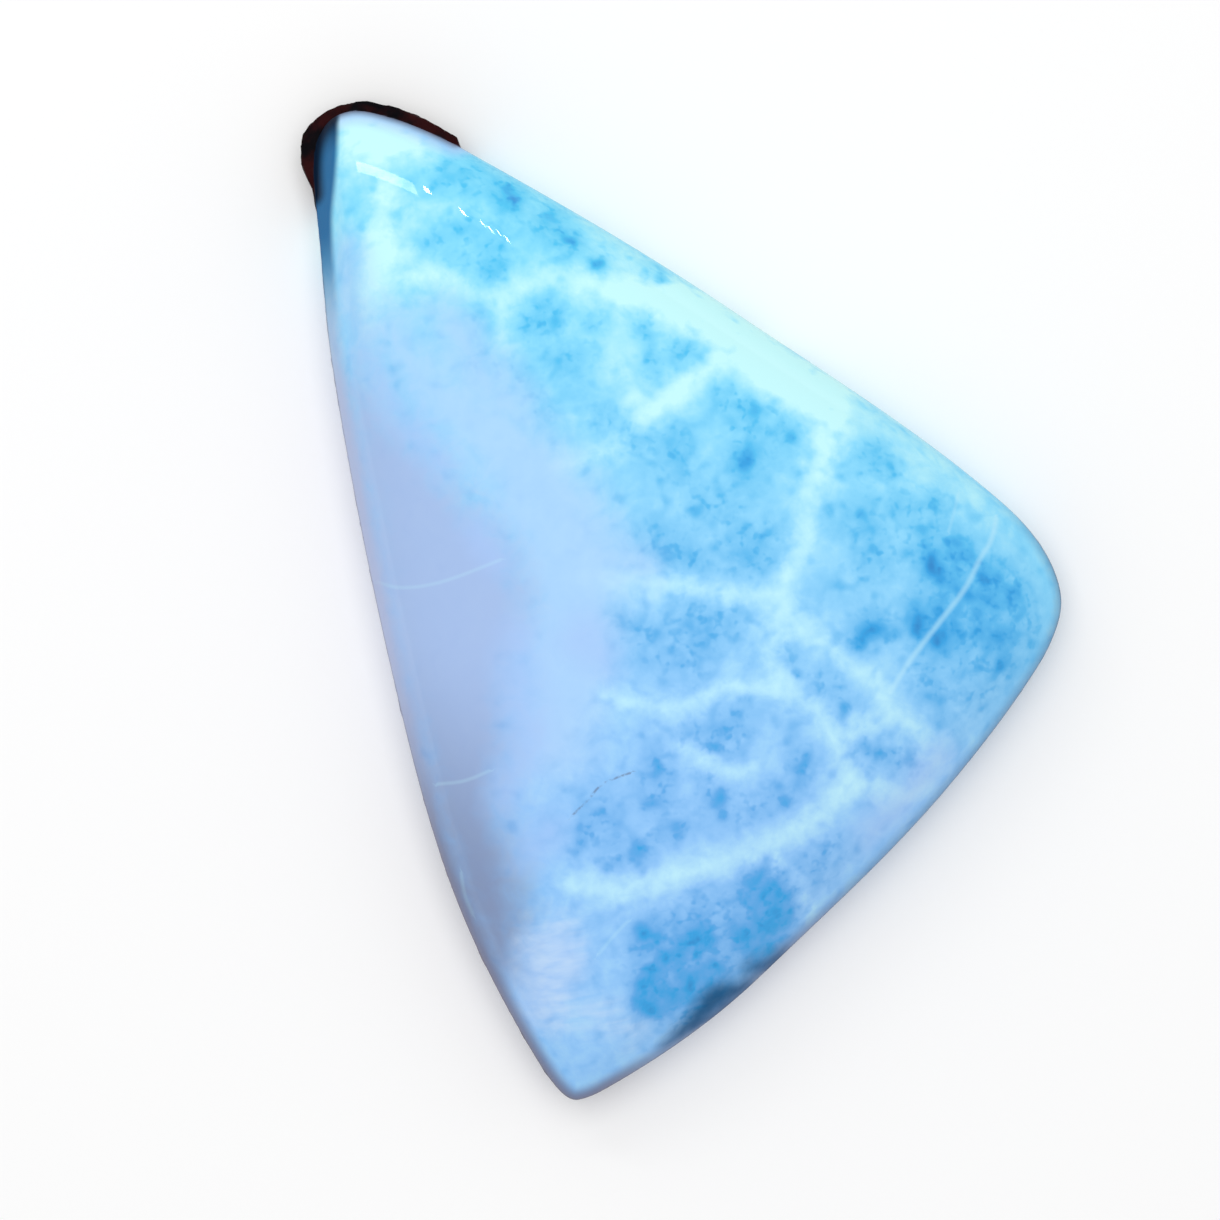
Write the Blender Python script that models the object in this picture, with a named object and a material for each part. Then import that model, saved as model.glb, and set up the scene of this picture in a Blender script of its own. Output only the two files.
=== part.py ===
"""A polished larimar cabochon: a three-cornered freeform stone with a flat back.

The stone lies on its back, which is at z = 0, with its crown up and its narrow
tip towards +Y. Its long axis runs along Y and its widest corner is at +X.
Sizes here are in millimetres, and the finished mesh is in metres.
"""

import math

import bmesh
import bpy
import numpy as np
from mathutils import Vector
from mathutils.geometry import interpolate_bezier

STONE_NAME = "larimar_cabochon"
MM = 0.001

# Heights above the flat back
CHAMFER_HEIGHT = 0.45
WAIST_HEIGHT = 1.3
GIRDLE_HEIGHT = 2.4
DOME_FOOT_HEIGHT = 2.5
CROWN_HEIGHT = 7.3

# How far each level of the upright edge lies inside the outline
CHAMFER_INSET = 0.45
FOOT_INSET = 0.04
GIRDLE_INSET = 0.06
DOME_FOOT_INSET = 0.12

# The dome: a higher power gives a flatter top and a tighter shoulder. Going up,
# its level lines turn from the outline's own shape into an ellipse.
CROWN = np.array([-3.4, -1.5])
DOME_POWER = 3.6
ELLIPSE_HALF_WIDTH = 11.5
ELLIPSE_HALF_LENGTH = 17.0

# The facet ground down the left side of the tip: a point on its upper ridge,
# the way the ridge runs in degrees, and how steeply the facet falls from it
RIDGE = np.array([-12.75, 17.44])
RIDGE_HEIGHT = 4.3
RIDGE_HEADING = 77
FACET_SLOPE = 1.75
FACET_EASING = 0.1

# Mesh density: the longest step along the edge in mm and the widest turn in
# degrees, for the mesh and for the finer lines that its dome is measured from
MESH_STEP = (0.9, 13)
FINE_STEP = (0.2, 1)
DOME_ROWS = 24

# The edge of the blue stone seen from above, anticlockwise from the right
# corner: x, y, the way the edge runs in degrees, and how far the rind of host
# rock at the tip stands out from it there.
OUTLINE = (
    (15.06, -5.40, 91, 0),
    (13.40, -1.15, 126, 0),
    (3.55, 9.95, 133, 0),
    (-6.70, 19.82, 138, 0),
    (-7.00, 20.08, 141, 0.38),
    (-9.30, 21.72, 151, 0.62),
    (-11.10, 22.47, 175, 0.45),
    (-12.10, 22.30, 206, 0.55),
    (-12.85, 21.60, 234, 0.80),
    (-13.30, 20.60, 252, 0.62),
    (-13.52, 19.55, 260, 0.15),
    (-13.75, 17.90, 262.4, 0),
    (-14.58, 11.40, 266, 0),
    (-15.06, -2.00, 270, 0),
    (-14.55, -12.90, 278, 0),
    (-12.90, -19.95, 287, 0),
    (-12.05, -22.20, 297, 0),
    (-11.10, -23.03, 358, 0),
    (-9.40, -22.70, 17, 0),
    (-1.80, -19.40, 31, 0),
    (8.20, -13.08, 37, 0),
    (13.40, -8.65, 45, 0),
    (14.65, -7.00, 60, 0),
)


def heading_vector(degrees):
    """Unit vector that runs the given way in the plan."""
    angle = math.radians(degrees)
    return Vector((math.cos(angle), math.sin(angle)))


def outline_arc(start, end, longest, widest):
    """Points and rind widths along one stretch of the edge, without its end.

    The handles are as long as those of a circular arc of the same turn.
    """
    first, last = Vector(start[:2]), Vector(end[:2])
    chord = (last - first).length
    turn = math.radians((end[2] - start[2] + 180) % 360 - 180)
    reach = chord / (3 * math.cos(turn / 4) ** 2)
    steps = math.ceil(max(chord / longest, turn / math.radians(widest)))
    curve = interpolate_bezier(
        first,
        first + reach * heading_vector(start[2]),
        last - reach * heading_vector(end[2]),
        last,
        steps + 1,
    )
    rinds = np.linspace(start[3], end[3], steps + 1)
    return [(point.x, point.y, rind) for point, rind in zip(curve[:-1], rinds)]


def outline_points(step):
    """The stone's edge seen from above, and the rind's width at each point."""
    points = []
    for start, end in zip(OUTLINE, OUTLINE[1:] + OUTLINE[:1]):
        points += outline_arc(start, end, *step)
    points = np.array(points)
    return points[:, :2], points[:, 2:]


def outward_normals(edge):
    """Unit vectors that point out of a closed anticlockwise edge."""
    along = np.roll(edge, -1, axis=0) - np.roll(edge, 1, axis=0)
    outward = np.stack([along[:, 1], -along[:, 0]], axis=1)
    return outward / np.linalg.norm(outward, axis=1, keepdims=True)


def ellipse_points(outward):
    """Where an ellipse round the crown faces each of the given ways."""
    axes = np.array([ELLIPSE_HALF_WIDTH, ELLIPSE_HALF_LENGTH])
    reach = outward * axes**2
    return reach / np.linalg.norm(outward * axes, axis=1, keepdims=True)


def ground_facet(plan, height):
    """Heights after the facet at the tip is ground, with its ridge just eased."""
    along = heading_vector(RIDGE_HEADING)
    inside = (plan - RIDGE) @ np.array([along.y, -along.x])
    facet = RIDGE_HEIGHT + FACET_SLOPE * inside
    middle = (height + facet) / 2
    gap = (height - facet) / 2
    eased = middle - np.sqrt(gap**2 + FACET_EASING**2)
    return np.maximum(eased, DOME_FOOT_HEIGHT)


def dome_ring(foot, outward, spokes, lift):
    """One ring of the dome; lift runs from 0 at its foot to 1 at the crown.

    Its points lie on the given spokes, which run out from the crown.
    """
    spread = math.cos(lift * math.pi / 2) ** (2 / DOME_POWER)
    line = spread**2 * (foot - CROWN) + (1 - spread**2) * ellipse_points(outward)
    line *= spread
    reach = np.interp(
        np.arctan2(spokes[:, 1], spokes[:, 0]),
        np.arctan2(line[:, 1], line[:, 0]),
        np.hypot(line[:, 0], line[:, 1]),
        period=math.tau,
    )
    plan = CROWN + reach[:, None] * spokes
    rise = (CROWN_HEIGHT - DOME_FOOT_HEIGHT) * math.sin(lift * math.pi / 2)
    return np.column_stack([plan, ground_facet(plan, DOME_FOOT_HEIGHT + rise)])


def dome_rings(mesh_foot):
    """Rings of the dome from its foot up, spaced as the foot's points are."""
    fine_edge = outline_points(FINE_STEP)[0]
    outward = outward_normals(fine_edge)
    foot = fine_edge - outward * DOME_FOOT_INSET
    spokes = mesh_foot - CROWN
    spokes /= np.linalg.norm(spokes, axis=1, keepdims=True)
    lifts = np.linspace(0, 1, DOME_ROWS, endpoint=False)
    return [dome_ring(foot, outward, spokes, lift) for lift in lifts]


def stone_rings():
    """Rings of points from the foot of the back up to just under the crown."""
    stone_edge, rind = outline_points(MESH_STEP)
    outward = outward_normals(stone_edge)
    edge = stone_edge + outward * rind

    def edge_ring(inset, height):
        return np.insert(edge - outward * inset, 2, height, axis=1)

    return [
        edge_ring(CHAMFER_INSET, 0),
        edge_ring(FOOT_INSET, CHAMFER_HEIGHT),
        edge_ring(0, WAIST_HEIGHT),
        edge_ring(GIRDLE_INSET, GIRDLE_HEIGHT),
        *dome_rings(stone_edge - outward * DOME_FOOT_INSET),
    ]


def shape_stone(mesh_data):
    """Turn a sphere's rings of latitude into the rings of the stone."""
    rings = stone_rings()
    columns = len(rings[0])
    rows = len(rings) + 1
    bmesh.ops.create_uvsphere(mesh_data, u_segments=columns, v_segments=rows, radius=1)
    for vert in mesh_data.verts:
        row = round(rows * math.acos(max(-1, min(1, -vert.co.z))) / math.pi)
        column = round(columns * math.atan2(vert.co.y, vert.co.x) / math.tau) % columns
        if row == 0:
            place = (*CROWN, 0)
        elif row == rows:
            place = (*CROWN, CROWN_HEIGHT)
        else:
            place = rings[row - 1][column]
        vert.co = Vector(place) * MM


def larimar_material():
    """Polished sky-blue pectolite."""
    material = bpy.data.materials.new("polished_larimar")
    material.use_nodes = True
    shader = material.node_tree.nodes["Principled BSDF"]
    shader.inputs["Base Color"].default_value = (0.24, 0.56, 0.91, 1)
    shader.inputs["Roughness"].default_value = 0.12
    shader.inputs["Metallic"].default_value = 0
    return material


def make_stone():
    """The stone as one solid, smooth but for the edge of its back."""
    mesh = bpy.data.meshes.new(STONE_NAME)
    mesh_data = bmesh.new()
    shape_stone(mesh_data)
    mesh_data.to_mesh(mesh)
    mesh_data.free()
    mesh.shade_smooth()
    mesh.set_sharp_from_angle(angle=math.radians(40))
    mesh.materials.append(larimar_material())
    stone = bpy.data.objects.new(STONE_NAME, mesh)
    bpy.context.scene.collection.objects.link(stone)


def main():
    """Clear the scene and model the stone."""
    for old in list(bpy.data.objects):
        bpy.data.objects.remove(old)
    make_stone()


if __name__ == "__main__":
    main()
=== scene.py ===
"""A polished larimar cabochon on a pale stage, with a dark rind at the tip as painted shadow.

The stone lies on its flat back, which is at z = 0, with its crown up and its
narrow tip towards +Y. Shapes are worked out in millimetres, and the meshes are
in metres. The lines of the larimar's pattern are read off the photograph, so
they are held as its pixels (x to the right, y down), and one function turns
any point of the stone into those pixels.
"""

import math

import bmesh
import bpy
import numpy as np
from bpy.props import FloatProperty, FloatVectorProperty, PointerProperty
from mathutils import Matrix, Vector, noise
from mathutils.geometry import interpolate_bezier
from mathutils.kdtree import KDTree


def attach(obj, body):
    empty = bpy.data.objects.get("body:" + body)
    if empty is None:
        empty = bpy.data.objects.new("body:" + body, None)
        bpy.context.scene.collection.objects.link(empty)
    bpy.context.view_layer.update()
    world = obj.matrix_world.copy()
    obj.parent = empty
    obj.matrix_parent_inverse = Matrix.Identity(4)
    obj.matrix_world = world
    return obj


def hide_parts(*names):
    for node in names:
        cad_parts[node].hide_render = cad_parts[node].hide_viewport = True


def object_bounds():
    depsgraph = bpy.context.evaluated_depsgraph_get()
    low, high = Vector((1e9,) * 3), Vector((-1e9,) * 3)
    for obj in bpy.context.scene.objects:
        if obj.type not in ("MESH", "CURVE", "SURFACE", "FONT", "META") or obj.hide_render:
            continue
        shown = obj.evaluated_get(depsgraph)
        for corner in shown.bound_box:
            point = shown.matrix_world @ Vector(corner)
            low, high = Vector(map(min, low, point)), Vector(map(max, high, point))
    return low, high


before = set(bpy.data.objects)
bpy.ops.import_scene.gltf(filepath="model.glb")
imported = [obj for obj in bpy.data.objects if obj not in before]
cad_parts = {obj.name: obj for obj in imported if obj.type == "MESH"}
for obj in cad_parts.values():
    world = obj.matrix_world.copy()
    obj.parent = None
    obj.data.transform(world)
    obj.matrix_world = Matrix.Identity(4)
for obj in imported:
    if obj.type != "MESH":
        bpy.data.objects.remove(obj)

bl_info = {
    "name": "Larimar cabochon",
    "version": (1, 0, 0),
    "blender": (4, 5, 0),
    "location": "3D Viewport > Sidebar > Larimar",
    "description": "Builds a polished larimar cabochon and the stage it lies on",
    "category": "Add Mesh",
}

CAD_NODE = "larimar_cabochon"
CAD_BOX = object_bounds()
MM = 0.001
WELD_DISTANCE = 0.001 * MM

# Heights above the flat back and insets from the outline, in millimetres
CHAMFER_HEIGHT = 0.45
WAIST_HEIGHT = 1.3
DOME_FOOT_HEIGHT = 2.5
CHAMFER_INSET = 0.45
FOOT_INSET = 0.04
GIRDLE_INSET = 0.06
DOME_FOOT_INSET = 0.12

# The dome's level lines turn from the outline's shape into an ellipse
CROWN = np.array([-3.4, -1.5])
ELLIPSE_HALF_WIDTH = 11.5
ELLIPSE_HALF_LENGTH = 17.0

# The facet ground down the left side of the tip
RIDGE = np.array([-12.75, 17.44])
RIDGE_HEIGHT = 4.3
RIDGE_HEADING = 77
FACET_SLOPE = 1.75
FACET_EASING = 0.1

# The edge of the blue stone seen from above, anticlockwise from the right
# corner: x, y, the way the edge runs in degrees, and how far the dark rind at
# the tip, a painted shadow built as matter, stands out from it there.
OUTLINE = (
    (15.06, -5.40, 91, 0),
    (13.40, -1.15, 126, 0),
    (3.55, 9.95, 133, 0),
    (-6.70, 19.82, 138, 0),
    (-7.00, 20.08, 141, 0.38),
    (-9.30, 21.72, 151, 0.62),
    (-11.10, 22.47, 175, 0.45),
    (-12.10, 22.30, 206, 0.55),
    (-12.85, 21.60, 234, 0.80),
    (-13.30, 20.60, 252, 0.62),
    (-13.52, 19.55, 260, 0.15),
    (-13.75, 17.90, 262.4, 0),
    (-14.58, 11.40, 266, 0),
    (-15.06, -2.00, 270, 0),
    (-14.55, -12.90, 278, 0),
    (-12.90, -19.95, 287, 0),
    (-12.05, -22.20, 297, 0),
    (-11.10, -23.03, 358, 0),
    (-9.40, -22.70, 17, 0),
    (-1.80, -19.40, 31, 0),
    (8.20, -13.08, 37, 0),
    (13.40, -8.65, 45, 0),
    (14.65, -7.00, 60, 0),
)

# The longest step along the edge in mm and the widest turn in degrees, for the
# mesh and for the finer lines that its dome is measured from
MESH_STEP = (0.22, 4)
FINE_STEP = (0.05, 0.25)
BACK_ROWS = 34
CHAMFER_ROWS = 3
WALL_ROWS = 9
LEDGE_ROWS = 5
DOME_ROWS = 112

# The rind widens the back's rings near its edge only: higher keeps it narrower
RIND_POWER = 12

# How the photograph was taken: its size, the scale at the stone's edge, the
# pixel over the middle of the stone, the roll, and the distance to the edge
PHOTO_SIDE = 1220
MM_PER_PIXEL = 0.045
STONE_PIXEL = (705.0, 544.0)
CAMERA_ROLL = math.radians(13)
CAMERA_LENS = 100
SENSOR_WIDTH = 36
CAMERA_DISTANCE = PHOTO_SIDE * MM_PER_PIXEL * CAMERA_LENS / SENSOR_WIDTH

# Ways across the stone's plan, and between which distances from its middle, in
# mm, a colour changes along each: azure to cyan, pale to deep grey, the painted
# shade and reflection of the left edge, and the painted shade of the lower right edge
TIPWARD = (0.5, 0.86, 0)
CYAN_TURN = (-12, 14)
GREY_TURN = (-7, -18)
LEFTWARD = (-1, -0.1, 0)
LEFT_EDGE = (9, 12)
LOWER_RIGHT = (0.53, -0.85, 0)
LOWER_RIGHT_EDGE = (7, 12)
# Up the photograph: where the painted shade on the facet fades, where it turns navy, and where the
# painted shade along the bottom edge starts
PHOTO_UP = (0.225, 0.974, 0)
FACET_FADE = (9, 14)
NAVY_TURN = (17, 19)
BOTTOM_TURN = (-14, -18)

# The lamps that the polish mirrors near the tip: where a soft strip's reflection
# starts and ends and where each small lamp shows, in pixels, with its width in
# mm; then how far away, how wide or tall and how bright beside others they are
STRIP_ENDS = ((357, 168), (414, 187))
GLINTS = (
    (430, 193, 6),
    (459, 208, 3.5),
    (480, 220, 1.6),
    (488, 226, 1.6),
    (502, 234, 1.6),
    (510, 240, 1.6),
)
LAMP_DISTANCE = 300
STRIP_WIDTH = 24
GLINT_HEIGHT = 12
STRIP_SHARE = 0.09
GLINT_SHARE = 0.6

# How the pattern wanders, in pixels, and how it dips below the dome
WANDER = ((1.9, 7.0), (0.6, 3.0))
DIP = np.array([1.3, -0.9])

# How far the pectolite's fibres dip to the right in the photograph
FIBRE_DIP = math.radians(20)

# How far each noise sways the depth of the blue, from the coarsest to the finest
MOTTLE_DEPTH = 0.4
FINE_DEPTH = 0.15

# The pattern's lines and patches, in the photograph's pixels. Each is a line of
# points, with half its width at each point; a single point is a round patch.
# Pale veins, and two painted highlights at the tip
VEINS_AND_HIGHLIGHTS = (
    # Painted highlight: the pale streak down the left of the tip
    ((386, 188, 8), (380, 235, 11), (373, 285, 9), (366, 325, 5)),
    # Painted highlight: the pale glow over the end of the tip
    ((352, 128, 14), (380, 138, 16), (412, 148, 8)),
    # The trunk, from the pale band at the upper right to the first junction
    ((838, 372, 16), (828, 405, 13), (824, 434, 9), (814, 484, 6), (808, 531, 6),
     (793, 560, 5), (781, 593, 7), (779, 612, 9)),
    # Left from the first junction
    ((779, 608, 8), (760, 601, 6), (738, 596, 6), (700, 588, 6), (661, 586, 5),
     (631, 583, 5), (600, 580, 4)),
    # Down to the second junction, and on to the lower left
    ((779, 612, 9), (774, 645, 6), (774, 666, 6), (783, 684, 7)),
    ((783, 684, 6), (747, 684, 4), (722, 687, 4), (701, 700, 5), (686, 709, 5),
     (655, 709, 4), (625, 700, 4), (600, 695, 3)),
    # Down the right side of the round cells
    ((783, 684, 7), (799, 694, 5), (816, 709, 5), (829, 727, 5), (838, 748, 6),
     (843, 770, 7), (846, 793, 8)),
    # The right-hand vein, which bends back to the one before
    ((779, 612, 9), (801, 630, 7), (822, 643, 6), (843, 655, 6), (865, 670, 7),
     (880, 686, 8), (886, 704, 8), (875, 716, 6), (860, 726, 5), (845, 742, 5)),
    # Over and under the eye-shaped cell
    ((886, 702, 7), (902, 718, 6), (918, 727, 5), (928, 749, 5), (936, 765, 4)),
    ((846, 786, 7), (866, 782, 5), (888, 789, 5), (908, 796, 4), (925, 788, 4)),
    # The hook inside the large lower cell
    ((689, 746, 4), (713, 767, 5), (735, 774, 5), (755, 767, 4)),
    # The long lower vein and its short branch
    ((573, 881, 7), (623, 887, 6), (665, 880, 6), (703, 867, 6), (738, 857, 7),
     (765, 853, 8), (776, 841, 7), (795, 828, 6), (827, 809, 6), (846, 790, 8)),
    ((776, 852, 6), (782, 866, 5), (794, 888, 5), (808, 912, 4)),
    # The upper vein, which widens into the pale band
    ((408, 279, 3), (443, 276, 5), (482, 292, 5), (507, 296, 6), (526, 285, 6),
     (545, 277, 7), (590, 280, 9), (640, 292, 10), (690, 305, 16), (745, 345, 18),
     (800, 390, 18)),
    ((505, 296, 4), (504, 318, 3), (501, 340, 3)),
    ((560, 470, 1), (589, 459, 1), (613, 443, 2), (640, 420, 2), (668, 392, 4),
     (700, 372, 2), (735, 350, 2)),
)
THREADS = (
    ((996, 519, 1), (992, 541, 1), (980, 558, 1), (967, 587, 1), (946, 614, 1), (924, 642, 1),
     (906, 666, 1), (891, 691, 1)),
)
WISPS = (
    ((958, 494, 1), (955, 510, 1), (949, 530, 1)),
    ((628, 921, 1), (610, 940, 1), (598, 955, 1)),
    ((378, 582, 1), (395, 588, 1), (420, 587, 1), (450, 580, 1), (500, 560, 1)),
    ((438, 784, 1), (464, 782, 1), (489, 771, 1)),
    ((461, 873, 1), (464, 895, 1), (473, 915, 1)),
)
HAIRLINES = (
    ((630, 773, 0.8), (610, 780, 0.9), (598, 787, 0.8), (591, 797, 0.7), (572, 816, 0.6)),
)
DEEP_PATCHES = (
    # Beside the tip
    ((440, 178, 12), (462, 176, 16), (485, 180, 16), (506, 190, 16), (518, 206, 12)),
    ((545, 218, 10), (556, 231, 16), (570, 241, 10)),
    ((428, 243, 10), (455, 232, 12), (471, 226, 14), (488, 245, 14), (494, 268, 14)),
    ((459, 262, 8),),
    ((600, 262, 6),),
    ((657, 277, 6),),
    # Below the upper vein
    ((528, 324, 12), (538, 312, 16), (556, 318, 10)),
    ((572, 362, 14), (584, 352, 8)),
    ((475, 361, 12),),
    ((475, 324, 10),),
    ((502, 366, 7),),
    ((592, 322, 7),),
    ((646, 330, 9), (652, 368, 8)),
    ((684, 350, 13),),
    ((520, 378, 8), (535, 410, 9)),
    ((605, 419, 10), (640, 440, 10)),
    # The cell left of the trunk
    ((672, 440, 14), (680, 475, 9)),
    ((728, 402, 18), (745, 425, 20), (750, 462, 15)),
    ((788, 430, 11), (775, 412, 8)),
    ((700, 507, 12), (735, 505, 9)),
    ((735, 540, 18), (752, 562, 22), (770, 535, 12)),
    ((655, 545, 20), (690, 560, 16)),
    # Between the branches on the left
    ((700, 625, 26), (735, 615, 12), (668, 655, 18), (690, 680, 8)),
    ((650, 640, 16), (625, 625, 8)),
    ((712, 742, 18), (738, 722, 15), (690, 735, 8)),
    ((784, 648, 5), (796, 672, 5)),
    ((823, 681, 9), (845, 706, 11)),
    ((802, 763, 13), (790, 785, 9)),
    ((866, 747, 13), (890, 752, 11), (915, 764, 11)),
    # The saturated cell on the right
    ((875, 460, 18), (895, 472, 8)),
    ((937, 503, 10), (905, 505, 12)),
    ((862, 520, 12), (885, 545, 18), (865, 570, 12)),
    ((925, 540, 20), (950, 570, 32), (985, 580, 28), (1010, 600, 26), (1015, 640, 20)),
    ((875, 632, 20), (850, 640, 6)),
    ((925, 620, 22), (950, 640, 24), (985, 625, 26), (965, 665, 16)),
    ((927, 676, 12), (940, 715, 12)),
    ((1002, 668, 14), (975, 695, 12)),
    # The lower cells
    ((719, 800, 14), (707, 780, 10)),
    ((661, 767, 12), (655, 801, 12)),
    ((598, 818, 20), (585, 845, 12)),
    ((639, 848, 12), (604, 867, 7), (680, 825, 8)),
    ((745, 812, 10), (780, 800, 8)),
    # Under the long lower vein
    ((768, 892, 32), (750, 930, 28), (700, 950, 32), (650, 985, 26), (690, 1000, 26)),
    ((715, 905, 18), (660, 935, 16), (640, 955, 14)),
    ((835, 850, 10), (815, 870, 14)),
)
DARK_SPOTS = (
    ((509, 189, 3.0),),
    ((553, 219, 3.0),),
    ((600, 263, 2.2),),
    ((559, 279, 2.0),),
    ((660, 281, 4.0),),
    ((747, 462, 5.0),),
    ((793, 434, 4.0),),
    ((934, 573, 6.0), (928, 564, 4.0)),
    ((984, 575, 4.5),),
    ((918, 626, 6.0), (924, 616, 3.5)),
    ((938, 640, 6.5),),
    ((876, 628, 4.0), (860, 644, 3.5)),
    ((796, 674, 2.6),),
    ((747, 699, 2.6), (740, 701, 2.2)),
    ((846, 706, 3.0), (846, 724, 2.4)),
    ((799, 767, 4.0), (806, 757, 3.0)),
    ((866, 745, 4.0),),
    ((915, 765, 4.0),),
    ((716, 748, 4.0),),
    ((719, 801, 5.0), (722, 793, 3.0)),
    ((639, 848, 5.5),),
    ((674, 826, 3.0),),
    ((604, 867, 3.5),),
    ((646, 870, 2.4),),
    ((789, 801, 3.0),),
    ((725, 816, 3.0),),
    ((661, 767, 3.0),),
    ((649, 801, 3.0),),
    ((579, 828, 2.6),),
    ((833, 513, 3.0),),
    ((975, 517, 3.5),),
    ((770, 950, 5.0),),
    ((1002, 665, 4.0),),
    ((680, 946, 3.5),),
    ((672, 1000, 3.5),),
    ((642, 985, 4.0),),
    ((640, 924, 3.0), (648, 932, 3.0)),
    ((691, 936, 3.5), (704, 933, 3.0), (714, 938, 3.0)),
    ((679, 948, 3.0), (665, 960, 3.5)),
    ((694, 954, 3.0),),
    ((644, 971, 3.0), (655, 983, 3.5)),
    ((638, 1000, 3.0), (652, 1008, 3.5)),
    ((667, 991, 4.0),),
    ((613, 1004, 2.6),),
    ((634, 1020, 3.0),),
    ((747, 940, 4.5), (736, 926, 3.0)),
)
CLOUDS = (
    ((395, 330, 14), (430, 390, 24), (500, 440, 36), (545, 500, 46), (570, 560, 44),
     (570, 620, 42), (560, 690, 38), (550, 750, 28)),
    ((600, 560, 22), (640, 570, 10)),
    ((450, 330, 22), (500, 400, 20)),
)
WHITES = (
    ((556, 930, 18), (559, 955, 27), (548, 985, 22), (560, 1010, 16)),
    ((590, 1012, 10), (630, 1028, 6)),
)
# A pale green-tinted ground, partly painted sheen: the glow at the tip and the band along the upper
# right shoulder
MINTS_AND_SHEENS = (
    ((360, 150, 26), (400, 150, 26), (440, 150, 10), (520, 190, 8), (600, 245, 14), (640, 290, 38),
     (740, 350, 42), (830, 400, 34), (900, 450, 22), (960, 500, 14)),
    ((600, 330, 30), (670, 380, 36), (640, 400, 26)),
    ((440, 230, 40), (400, 260, 20)),
)
LILACS = (
    ((348, 250, 8), (352, 320, 12), (366, 362, 12), (405, 415, 10), (440, 465, 8)),
    ((478, 530, 8), (495, 560, 6)),
    ((519, 640, 14), (522, 700, 15), (530, 745, 16), (505, 800, 10)),
    ((585, 640, 18), (600, 655, 14)),
    ((552, 960, 26), (535, 1000, 18)),
    ((940, 762, 12), (905, 800, 10), (872, 832, 6)),
    ((530, 850, 14), (545, 830, 12)),
)
GREYS = (
    ((334, 400, 16), (350, 500, 26), (366, 600, 28), (388, 700, 28), (412, 800, 28),
     (444, 900, 26), (482, 978, 18)),
    ((352, 385, 6), (372, 430, 24), (386, 460, 35), (418, 530, 55), (455, 600, 78),
     (448, 650, 60), (457, 700, 57), (460, 750, 49), (460, 800, 37), (474, 850, 34),
     (488, 900, 33), (501, 950, 22), (510, 970, 8)),
)
# Painted shade: dark teal where the dome's shoulder at the lower right faces away from the light
TEAL_SHADES = (
    ((664, 1046, 2), (686, 1026, 6), (704, 1010, 12), (724, 997, 14), (745, 984, 6)),
    ((748, 972, 4), (768, 964, 7), (786, 950, 4)),
)
ROYALS = (
    ((927, 562, 6), (938, 574, 10), (946, 584, 6)),
    ((962, 548, 6), (957, 560, 6)),
    ((988, 577, 9), (990, 588, 6)),
    ((915, 612, 5), (921, 625, 9)),
    ((944, 610, 8), (948, 632, 11), (938, 645, 8)),
    ((968, 592, 6), (985, 604, 9), (1012, 600, 7)),
    ((975, 630, 8), (1003, 640, 6)),
    ((868, 635, 7), (880, 625, 6), (858, 645, 5)),
    ((1002, 662, 6),),
    ((762, 884, 17), (778, 900, 23), (772, 926, 18), (758, 952, 12)),
    ((700, 934, 9), (684, 946, 8)),
    ((648, 930, 7),),
    ((666, 958, 9), (648, 978, 8), (652, 1002, 11)),
    ((690, 985, 12), (716, 972, 10)),
    ((745, 460, 5),),
    ((512, 200, 6),),
    ((568, 238, 4),),
)
# Painted shade: the dark steel blue where the facet at the tip faces away from the light
STEEL_SHADES = (
    ((331, 104, 6), (327, 118, 10), (324, 140, 13), (322, 165, 14), (321, 188, 13),
     (320, 215, 11), (322, 250, 10), (327, 290, 8), (334, 335, 5), (341, 375, 3)),
)
LAYERS = {
    # attribute: the lines, and how far neighbouring ones melt together in pixels
    "vein_and_highlight": (VEINS_AND_HIGHLIGHTS, 3.0),
    "deep": (DEEP_PATCHES, 5.0),
    "royal": (ROYALS, 3.0),
    "spot": (DARK_SPOTS, 0.5),
    "cloud": (CLOUDS, 12.0),
    "white": (WHITES, 6.0),
    "mint_and_sheen": (MINTS_AND_SHEENS, 12.0),
    "lilac": (LILACS, 8.0),
    "grey": (GREYS, 8.0),
    "teal_shade": (TEAL_SHADES, 4.0),
}
FINE_LINES = {"thread": THREADS, "wisp": WISPS, "hairline": HAIRLINES}


def linear_colour(hex_code):
    """Linear red, green and blue of an sRGB hex colour."""
    channels = [int(hex_code[start : start + 2], 16) / 255 for start in (1, 3, 5)]
    return tuple(
        part / 12.92 if part <= 0.04045 else ((part + 0.055) / 1.055) ** 2.4
        for part in channels
    )


def colour_property(name, description, hex_code):
    """A colour that the user can change, given as sRGB hex."""
    return FloatVectorProperty(
        name=name,
        description=description,
        subtype="COLOR",
        min=0,
        max=1,
        default=linear_colour(hex_code),
    )


class LarimarShape(bpy.types.PropertyGroup):
    """Sizes of the cut stone."""

    girdle_height: FloatProperty(
        name="Girdle height",
        description="Height of the upright edge above the flat back",
        unit="LENGTH",
        default=2.4 * MM,
    )
    crown_height: FloatProperty(
        name="Crown height",
        description="Height of the top of the dome above the flat back",
        unit="LENGTH",
        default=CAD_BOX[1][2],
    )
    dome_power: FloatProperty(
        name="Dome power",
        description="Higher gives a flatter top and a tighter shoulder",
        min=2,
        default=3.6,
    )
    # Relief of the dark rind at the tip, which is a painted shadow built as matter
    rind_relief: FloatProperty(
        name="Rock relief",
        description="Depth of the broken surface on the rind of host rock",
        unit="LENGTH",
        default=0.16 * MM,
    )
    hand_relief: FloatProperty(
        name="Hand relief",
        description="Depth of the faint waves that grinding by hand leaves",
        unit="LENGTH",
        default=0.05 * MM,
    )


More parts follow.
